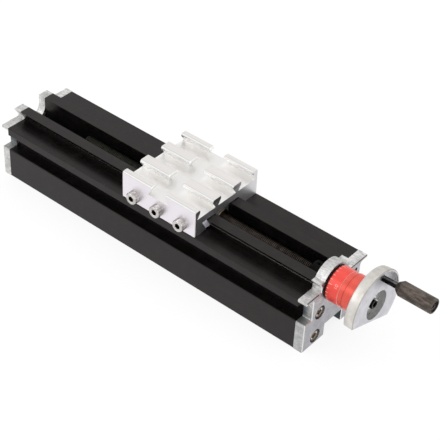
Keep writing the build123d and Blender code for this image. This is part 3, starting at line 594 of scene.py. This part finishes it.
def lead_screw_steel():
    """Oiled lead screw: blotchy brown, olive behind, and painted shade making it darker where it nears the
    handwheel.
    """
    skin = Surface("lead_screw_steel")
    x = skin.along("X")
    cloud = skin.noise(420.0, 4.0)
    grain = skin.noise(4200.0, 2.0, 0.6)
    clouded = skin.ramp(cloud, 0.3, 0.7)
    brown = skin.mix(clouded, (0.036, 0.030, 0.026), (0.082, 0.066, 0.057))
    olive = skin.mix(clouded, (0.026, 0.028, 0.022), (0.050, 0.052, 0.041))
    base = skin.cover(brown, olive, skin.ramp(x, 0.0, 30.0, 0.85, 0.0))
    # Painted shade: darker where it nears the handwheel
    base = skin.shade(base, skin.ramp(x, 70.0, 100.0, 1.0, 0.5))
    rough = skin.plus(skin.ramp(cloud, 0.3, 0.7, 0.36, 0.26), grain, 0.05)
    return skin.finish(base, rough, skin.bump(grain, 0.12, 0.01), 1.0)


def axle_black():
    """Blackened crank axle with a painted highlight along its upper side; its head has a pale rim."""
    skin = Surface("axle_black")
    x = skin.along("X")
    grain = skin.noise(2600.0, 3.0)
    base = skin.mix(skin.ramp(grain, 0.3, 0.7), (0.003, 0.003, 0.003), (0.006, 0.006, 0.0055))
    # Painted highlight: a pale line along the upper front side, outside the grip
    faces_up_front = skin.plus(skin.times(skin.facing("Z"), 0.94), skin.facing("Y"), -0.34)
    outside_grip = skin.fall(x, grip_low.x - 0.5, 0.5)
    base = skin.cover(base, (0.14, 0.14, 0.145), skin.ramp(faces_up_front, 0.93, 0.985), outside_grip)
    head_rim = skin.band(skin.radius(*grip_line), 1.9, 2.45, 0.1)
    base = skin.cover(base, (0.55, 0.50, 0.52), head_rim, skin.rise(x, grip_high.x - 3.75, 0.25))
    rough = skin.ramp(grain, 0.3, 0.7, 0.18, 0.26)
    return skin.finish(base, rough, None, 0.4, Specular_IOR_Level=0.3)


def dull(name, light, dark, roughness, scale=900.0):
    """Plastic, rubber or paint with a fine grain."""
    skin = Surface(name)
    grain = skin.noise(scale, 3.0, 0.6)
    base = skin.mix(skin.ramp(skin.noise(150.0, 2.0), 0.3, 0.7), dark, light)
    rough = skin.ramp(grain, 0.3, 0.7, roughness, roughness + 0.1)
    return skin.finish(base, rough, skin.bump(grain, 0.2, 0.02))


def floor_white():
    """Pale matt floor that the camera, and what mirrors it, sees as mostly plain white."""
    skin = Surface("floor_white")
    path = skin.node("ShaderNodeLightPath").outputs
    seen = skin.math("MAXIMUM", path["Is Camera Ray"], path["Is Glossy Ray"])
    seen = skin.math("MAXIMUM", seen, path["Is Transmission Ray"])
    matt = skin.node("ShaderNodeBsdfDiffuse")
    skin.feed((0.86, 0.86, 0.86), matt.inputs["Color"])
    glow = skin.node("ShaderNodeEmission")
    skin.feed(1.04, glow.inputs["Strength"])
    blend = skin.node("ShaderNodeMixShader")
    skin.feed(skin.times(seen, 0.8), blend.inputs["Fac"])
    skin.feed(matt.outputs[0], blend.inputs[1])
    skin.feed(glow.outputs[0], blend.inputs[2])
    return skin.show(blend.outputs[0])


# Materials of the CAD nodes, by the record's material slots
near_black = (0.002, 0.002, 0.002)
# Painted lines on the red parts: shadow where the hub's neck ends, shade at the gap to the handwheel, and a
# highlight on the dial's front edge
neck_painted_shadow = (hub_neck_end + 0.3, 0.15, (0.50, 0.030, 0.022), 0.9)
wheel_gap_painted_shade = (wheel_low.x, 0.45, (0.10, 0.025, 0.020), 0.9)
dial_front_painted_highlight = (dial_high.x, 0.2, (1.0, 0.50, 0.42), 0.5)
made = {
    "bed_black": bed_black(),
    "plate_metal": plate_metal(),
    "carriage_metal": carriage_metal(),
    "handwheel_metal": handwheel_metal(),
    "plate_screw_steel": streaked_steel(
        "plate_screw_steel",
        dull_tone=(0.21, 0.175, 0.14),
        highlight_tone=(0.95, 0.85, 0.75),
        spots=plate_screw_spots,
        across=(0.49, -0.87),
        start=-0.65,
        end=0.45,
        reach=2.4,
        painted_shade_from=2.75,
    ),
    "gib_screw_steel": gib_screw_steel(),
    "washer_steel": steel("washer_steel", (0.80, 0.80, 0.79), (0.70, 0.70, 0.69), 0.20),
    # The thrust collar is near black: blackened steel, and painted shade where it sits in the channel under
    # the boss
    "collar_steel": steel("collar_steel", (0.005, 0.0045, 0.004), near_black, 0.45, 0.0, 0.05),
    "lead_screw_steel": lead_screw_steel(),
    "black_steel": steel("black_steel", (0.004, 0.004, 0.004), near_black, 0.40, 0.0, 0.05),
    "spacer_black": spacer_black(),
    "axle_black": axle_black(),
    "grip_dark": grip_dark(),
    "hub_red": red_anodised(
        "hub_red", (0.78, 0.098, 0.064), (0.69, 0.078, 0.052), 2.0, (neck_painted_shadow, wheel_gap_painted_shade)
    ),
    "dial_red": red_anodised(
        "dial_red", (0.86, 0.090, 0.070), (0.77, 0.071, 0.056), 3.0, (dial_front_painted_highlight,), 0.3
    ),
    "rubber": dull("rubber", (0.022, 0.022, 0.022), (0.012, 0.012, 0.012), 0.6),
    # The brass nut is dark: dirt, and painted shade where it sits under the carriage
    "brass": steel("brass", (0.16, 0.135, 0.10), (0.06, 0.052, 0.042), 0.28),
    "bronze": steel("bronze", (0.40, 0.26, 0.14), (0.30, 0.19, 0.10), 0.3),
    "gib_plastic": dull("gib_plastic", (0.62, 0.61, 0.67), (0.53, 0.52, 0.58), 0.45),
}
node_slot = {row["node"]: row["material_slot"] for row in frame["record"]["subparts"]}
for name, piece in frame["nodes"].items():
    piece.data.materials.clear()
    piece.data.materials.append(made[node_slot[name]])

# Materials that only the added pieces wear
dial_paint = dull("dial_paint", (0.95, 0.50, 0.43), (0.88, 0.40, 0.33), 0.5, 2400.0)
wheel_screw_steel = streaked_steel(
    "wheel_screw_steel",
    dull_tone=(0.012, 0.011, 0.010),
    highlight_tone=(0.72, 0.71, 0.69),
    spots=((line_y, line_z),),
    across=(0.707, 0.707),
    start=1.95,
    end=3.0,
    reach=3.0,
    painted_shade_from=4.0,
)
# Painted shade: the gib screws' sockets are near black
socket_painted_shade = steel("socket_painted_shade", (0.010, 0.009, 0.008), (0.004, 0.004, 0.004), 0.5, 0.0, 0.2)


def place_mesh(name, bm, materials, smooth_angle=35.0):
    """Turns a bmesh in millimetres into an object in metres with its materials."""
    bmesh.ops.recalc_face_normals(bm, faces=bm.faces)
    bmesh.ops.scale(bm, vec=(MM, MM, MM), verts=bm.verts)
    mesh = bpy.data.meshes.new(name)
    bm.to_mesh(mesh)
    bm.free()
    piece = bpy.data.objects.new(name, mesh)
    bpy.context.scene.collection.objects.link(piece)
    for material in materials:
        mesh.materials.append(material)
    mesh.shade_smooth()
    mesh.set_sharp_from_angle(angle=math.radians(smooth_angle))
    return piece


def ring_band(bm, lower, upper, material_index=0):
    """Faces between two rings of the same number of corners."""
    count = len(lower)
    for i in range(count):
        face = bm.faces.new((lower[i], lower[(i + 1) % count], upper[(i + 1) % count], upper[i]))
        face.material_index = material_index


def on_line(x, reach, angle):
    """Corner at a distance from the lead screw's line, at an angle round it."""
    return x, line_y + reach * math.cos(angle), line_z + reach * math.sin(angle)


def cap_screw(bm, at, outward, head, height, shank, length, socket, socket_depth, second_from, ridges=36):
    """Socket-head cap screw with a knurled side; `at` is the middle of its seat.

    Bands from number `second_from` on, and the socket's floor, take the second material.
    """
    tip_inset, tip_length = 0.4, 0.5
    seat_inset, seat_rise = 0.15, 0.2
    knurl_depth, knurl_end = 0.14, 0.55
    shoulder_inset, shoulder_drop, top_inset = 0.12, 0.35, 0.45
    mouth_width, mouth_gap, mouth_drop = 0.42, 0.02, 0.2
    drill_point = 0.5
    steps = ridges * 2
    turned = Vector(outward).to_track_quat("Z", "Y").to_matrix().to_4x4()
    spot = Matrix.Translation(Vector(at)) @ turned

    def ring(radius, level, shape="round"):
        corners = []
        for i in range(steps):
            angle = 2 * math.pi * i / steps
            reach = radius
            if shape == "knurl" and i % 2:
                reach = radius - knurl_depth
            if shape == "hexagon":
                sector = (math.degrees(angle) + 30.0) % 60.0 - 30.0
                reach = radius / math.cos(math.radians(sector))
            corner = Vector((reach * math.cos(angle), reach * math.sin(angle), level))
            corners.append(bm.verts.new(spot @ corner))
        return corners

    rings = [
        ring(shank / 2 - tip_inset, -length),
        ring(shank / 2, -length + tip_length),
        ring(shank / 2, 0.0),
        ring(head / 2 - seat_inset, 0.0),
        ring(head / 2, seat_rise, "knurl"),
        ring(head / 2, height - knurl_end, "knurl"),
        ring(head / 2 - shoulder_inset, height - shoulder_drop),
        ring(head / 2 - top_inset, height),
        ring(socket / 2 + mouth_width, height),
        ring(socket / 2 + mouth_gap, height - mouth_drop, "hexagon"),
        ring(socket / 2, height - socket_depth, "hexagon"),
    ]
    for k, (lower, upper) in enumerate(zip(rings, rings[1:])):
        ring_band(bm, lower, upper, int(k >= second_from))
    bm.faces.new(list(reversed(rings[0])))
    tip = bm.verts.new(spot @ Vector((0, 0, height - socket_depth - drill_point)))
    last = rings[-1]
    for i in range(steps):
        bm.faces.new((last[i], last[(i + 1) % steps], tip)).material_index = 1


# Bands of a cap screw where the flat top and where the socket begin
top_band, socket_band = 6, 9

# Gib screws in the carriage's front wall
low, high = box_mm("gib_screws")
gib_head = high.z - low.z
wall_y = carriage_low.y
middle_x = (low.x + high.x) / 2
outer_x = (high.x - low.x - gib_head) / 2
bm = bmesh.new()
for x in (middle_x - outer_x, middle_x, middle_x + outer_x):
    cap_screw(
        bm,
        at=(x, wall_y, (low.z + high.z) / 2),
        outward=(0, -1, 0),
        head=gib_head,
        height=wall_y - low.y,
        shank=4.0,
        length=high.y - wall_y,
        socket=3.0,
        socket_depth=2.4,
        second_from=socket_band,
    )
gib_heads = place_mesh("gib_cap_screws", bm, (made["gib_screw_steel"], socket_painted_shade))
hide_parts("gib_screws")
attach(gib_heads, "carriage")

# End plate screws, in their counterbores
plate_head_height = 3.0
for node, outward in (("front_plate_screws", 1), ("rear_plate_screws", -1)):
    low, high = box_mm(node)
    seat_x = high.x - plate_head_height if outward > 0 else low.x + plate_head_height
    bm = bmesh.new()
    for side in (-1, 1):
        for y, z in plate_screw_spots:
            cap_screw(
                bm,
                at=(seat_x, side * y, z),
                outward=(outward, 0, 0),
                head=plate_head,
                height=plate_head_height,
                shank=4.0,
                length=high.x - low.x - plate_head_height,
                socket=3.0,
                socket_depth=0.7,
                second_from=socket_band,
            )
    plate_heads = place_mesh(node.replace("_screws", "_cap_screws"), bm, (made["plate_screw_steel"],) * 2)
    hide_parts(node)
    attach(plate_heads, "bed")

# Handwheel screw, black, in the sink
low, high = box_mm("handwheel_screw")
seat_x = box_mm("handwheel_washer")[1].x
bm = bmesh.new()
cap_screw(
    bm,
    at=(seat_x, line_y, line_z),
    outward=(1, 0, 0),
    head=high.y - low.y,
    height=high.x - seat_x,
    shank=3.0,
    length=seat_x - low.x,
    socket=3.0,
    socket_depth=1.2,
    second_from=top_band,
    ridges=24,
)
wheel_screw = place_mesh("handwheel_cap_screw", bm, (wheel_screw_steel, wheel_screw_steel))
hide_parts("handwheel_screw")
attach(wheel_screw, "spindle")

# Lead screw with its right-handed thread, plain where the bush, hub and handwheel hold it
thread_pitch = 1.0
thread_depth = 0.55
thread_steps = 24
thread_start = screw_low.x
thread_end = collar_low.x - 1.0
shaft_radius = (screw_high.z - screw_low.z) / 2
root_radius = shaft_radius - thread_depth
shaft_steps = 64
shaft_break = 0.3
shaft_flat_depth = 0.6
tip_chamfer = 0.6


def wind_thread(bm):
    """Thread profile wound round the screw's line, from before its start to past its end."""
    profile = (
        (0.0, root_radius),
        (0.14, root_radius),
        (0.42, shaft_radius),
        (0.58, shaft_radius),
        (0.86, root_radius),
    )
    per_turn = len(profile)
    turns = int((thread_end - thread_start) / thread_pitch) + 3
    grid = []
    for i in range(turns * per_turn):
        along, reach = profile[i % per_turn]
        row = []
        for j in range(thread_steps):
            wound = i // per_turn - 2 + along + j / thread_steps
            x = thread_start + thread_pitch * wound
            row.append(bm.verts.new(on_line(x, reach, 2 * math.pi * j / thread_steps)))
        grid.append(row)
    for i in range(len(grid) - 1):
        for j in range(thread_steps - 1):
            bm.faces.new((grid[i][j], grid[i + 1][j], grid[i + 1][j + 1], grid[i][j + 1]))
        # A row's last corner meets the first corner of the row one turn further on
        if i + 1 + per_turn < len(grid):
            bm.faces.new((grid[i][-1], grid[i + 1][-1], grid[i + 1 + per_turn][0], grid[i + per_turn][0]))


def trim_thread(bm):
    """Cuts the wound thread flat at both ends and chamfers its free tip."""
    on_cut = 1e-4
    for x, side in ((thread_start, -1), (thread_end, 1)):
        everything = list(bm.verts) + list(bm.edges) + list(bm.faces)
        bmesh.ops.bisect_plane(
            bm, geom=everything, plane_co=(x, 0, 0), plane_no=(side, 0, 0), clear_outer=True
        )
        rim = [e for e in bm.edges if e.is_boundary and all(abs(v.co.x - x) < on_cut for v in e.verts)]
        bmesh.ops.edgenet_fill(bm, edges=rim)
    for v in bm.verts:
        limit = shaft_radius - tip_chamfer + (v.co.x - thread_start)
        spoke = Vector((0, v.co.y - line_y, v.co.z - line_z))
        if limit < spoke.length:
            v.co = Vector((v.co.x, line_y, line_z)) + spoke * (limit / spoke.length)


def add_shaft(bm):
    """Plain shaft beyond the thread, with a flat on top from the hub on."""
    rings = []
    for x, reach, has_flat in (
        (thread_end - shaft_break, root_radius, False),
        (thread_end + shaft_break, shaft_radius, False),
        (hub_low.x, shaft_radius, False),
        (hub_low.x, shaft_radius, True),
        (screw_high.x - shaft_break, shaft_radius, True),
        (screw_high.x, shaft_radius - shaft_break, True),
    ):
        ring = []
        for i in range(shaft_steps):
            x, y, z = on_line(x, reach, 2 * math.pi * i / shaft_steps)
            if has_flat:
                z = min(z, line_z + shaft_radius - shaft_flat_depth)
            ring.append(bm.verts.new((x, y, z)))
        rings.append(ring)
    for lower, upper in zip(rings, rings[1:]):
        ring_band(bm, lower, upper)
    bm.faces.new(rings[0])
    bm.faces.new(rings[-1])


bm = bmesh.new()
wind_thread(bm)
trim_thread(bm)
add_shaft(bm)
threaded = place_mesh("lead_screw_threaded", bm, (made["lead_screw_steel"],), 30.0)
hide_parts("lead_screw")
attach(threaded, "spindle")

# Graduations and numbers on the dial ring; the photo shows number 10 at this angle
dial_radius = (dial_high.z - dial_low.z) / 2
divisions = 25
seen_number, seen_angle = 10, 146.0
tick_start = dial_low.x + 0.1
long_tick, short_tick, tick_width = 2.1, 1.2, 0.26
tick_foot, tick_height = 0.05, 0.04
number_x = tick_start + 4.7
number_size, number_thickness, number_offset, number_lift = 2.7, 0.05, -0.02, 0.01


def mark_angle(mark):
    """Angle of a graduation round the dial."""
    return math.radians(seen_angle + (mark - seen_number) * 360.0 / divisions)


def add_tick(bm, mark):
    """One graduation: a thin block on the dial's side."""
    tick_length = long_tick if mark % 5 == 0 else short_tick
    half_turn = tick_width / 2 / dial_radius
    a, b, c, d, e, f, g, h = [
        bm.verts.new(on_line(x, radius, mark_angle(mark) + turn))
        for radius in (dial_radius - tick_foot, dial_radius + tick_height)
        for x in (tick_start, tick_start + tick_length)
        for turn in (-half_turn, half_turn)
    ]
    for face in ((a, b, d, c), (e, g, h, f), (a, e, f, b), (c, d, h, g), (a, c, g, e), (b, f, h, d)):
        bm.faces.new(face)


def add_number(bm, mark):
    """One number, bent round the dial's side."""
    curve = bpy.data.curves.new("number", "FONT")
    curve.body = str(mark)
    curve.size = number_size
    curve.align_x = "CENTER"
    curve.align_y = "CENTER"
    curve.extrude = number_thickness
    curve.offset = number_offset
    curve.resolution_u = 4
    carrier = bpy.data.objects.new("number", curve)
    bpy.context.scene.collection.objects.link(carrier)
    bpy.context.view_layer.update()
    digits = bpy.data.meshes.new_from_object(carrier.evaluated_get(bpy.context.evaluated_depsgraph_get()))
    bpy.data.objects.remove(carrier)
    start = len(bm.verts)
    bm.from_mesh(digits)
    bpy.data.meshes.remove(digits)
    bm.verts.ensure_lookup_table()
    for v in bm.verts[start:]:
        angle = mark_angle(mark) - v.co.x / dial_radius
        v.co = on_line(number_x - v.co.y, dial_radius + v.co.z + number_lift, angle)


bm = bmesh.new()
for mark in range(divisions):
    add_tick(bm, mark)
for mark in range(0, divisions, 10):
    add_number(bm, mark)
marks = place_mesh("dial_marks", bm, (dial_paint,))
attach(marks, "dial")

# Floor, which keeps a soft shadow
floor_half = 4.0
floor_mesh = bpy.data.meshes.new("floor")
floor_corners = [(x * floor_half, y * floor_half, 0) for x, y in ((-1, -1), (1, -1), (1, 1), (-1, 1))]
floor_mesh.from_pydata(floor_corners, [], [(0, 1, 2, 3)])
floor_mesh.materials.append(floor_white())
floor = bpy.data.objects.new("floor", floor_mesh)
bpy.context.scene.collection.objects.link(floor)

# World: an even white studio
world = bpy.data.worlds.new("studio")
bpy.context.scene.world = world
world.use_nodes = True
background = world.node_tree.nodes["Background"]
background.inputs["Color"].default_value = (1.0, 1.0, 1.0, 1.0)
background.inputs["Strength"].default_value = 1.0

# Soft boxes, all aimed at the middle of the object; places and sizes are in metres
lamp_target = Vector((0.0, 0.0, 0.03))


def soft_box(name, at, size, power):
    """Rectangular area lamp."""
    light = bpy.data.lights.new(name, "AREA")
    light.shape = "RECTANGLE"
    light.size, light.size_y = size
    light.energy = power
    lamp = bpy.data.objects.new(name, light)
    bpy.context.scene.collection.objects.link(lamp)
    lamp.location = at
    lamp.rotation_euler = (lamp_target - Vector(at)).to_track_quat("-Z", "Y").to_euler()


soft_box("key", (-0.55, -0.74, 0.70), (0.7, 0.6), 2.0)
soft_box("top", (0.05, 0.25, 1.1), (0.9, 0.7), 0.9)
soft_box("side", (0.95, -0.15, 0.45), (0.5, 0.5), 1.0)

# Camera, fitted to the photograph; its place is in metres
camera_place = (0.365261, -0.422885, 0.475413)
azimuth, elevation, roll = (math.radians(degrees) for degrees in (38.295, 39.736, 3.0937))
camera_data = bpy.data.cameras.new("camera")
camera_data.lens = 110.35
camera_data.sensor_width = 36.0
camera_data.clip_start = 0.02
camera_data.clip_end = 20.0
camera = bpy.data.objects.new("camera", camera_data)
bpy.context.scene.collection.objects.link(camera)
back = Vector((
    math.sin(azimuth) * math.cos(elevation),
    -math.cos(azimuth) * math.cos(elevation),
    math.sin(elevation),
))
right = Vector((math.cos(azimuth), math.sin(azimuth), 0.0))
up = back.cross(right)
rolled_right = right * math.cos(roll) + up * math.sin(roll)
rolled_up = up * math.cos(roll) - right * math.sin(roll)
turned = Matrix((rolled_right, rolled_up, back)).transposed().to_4x4()
camera.matrix_world = Matrix.Translation(camera_place) @ turned
bpy.context.scene.camera = camera
bpy.context.scene.view_settings.view_transform = "Standard"
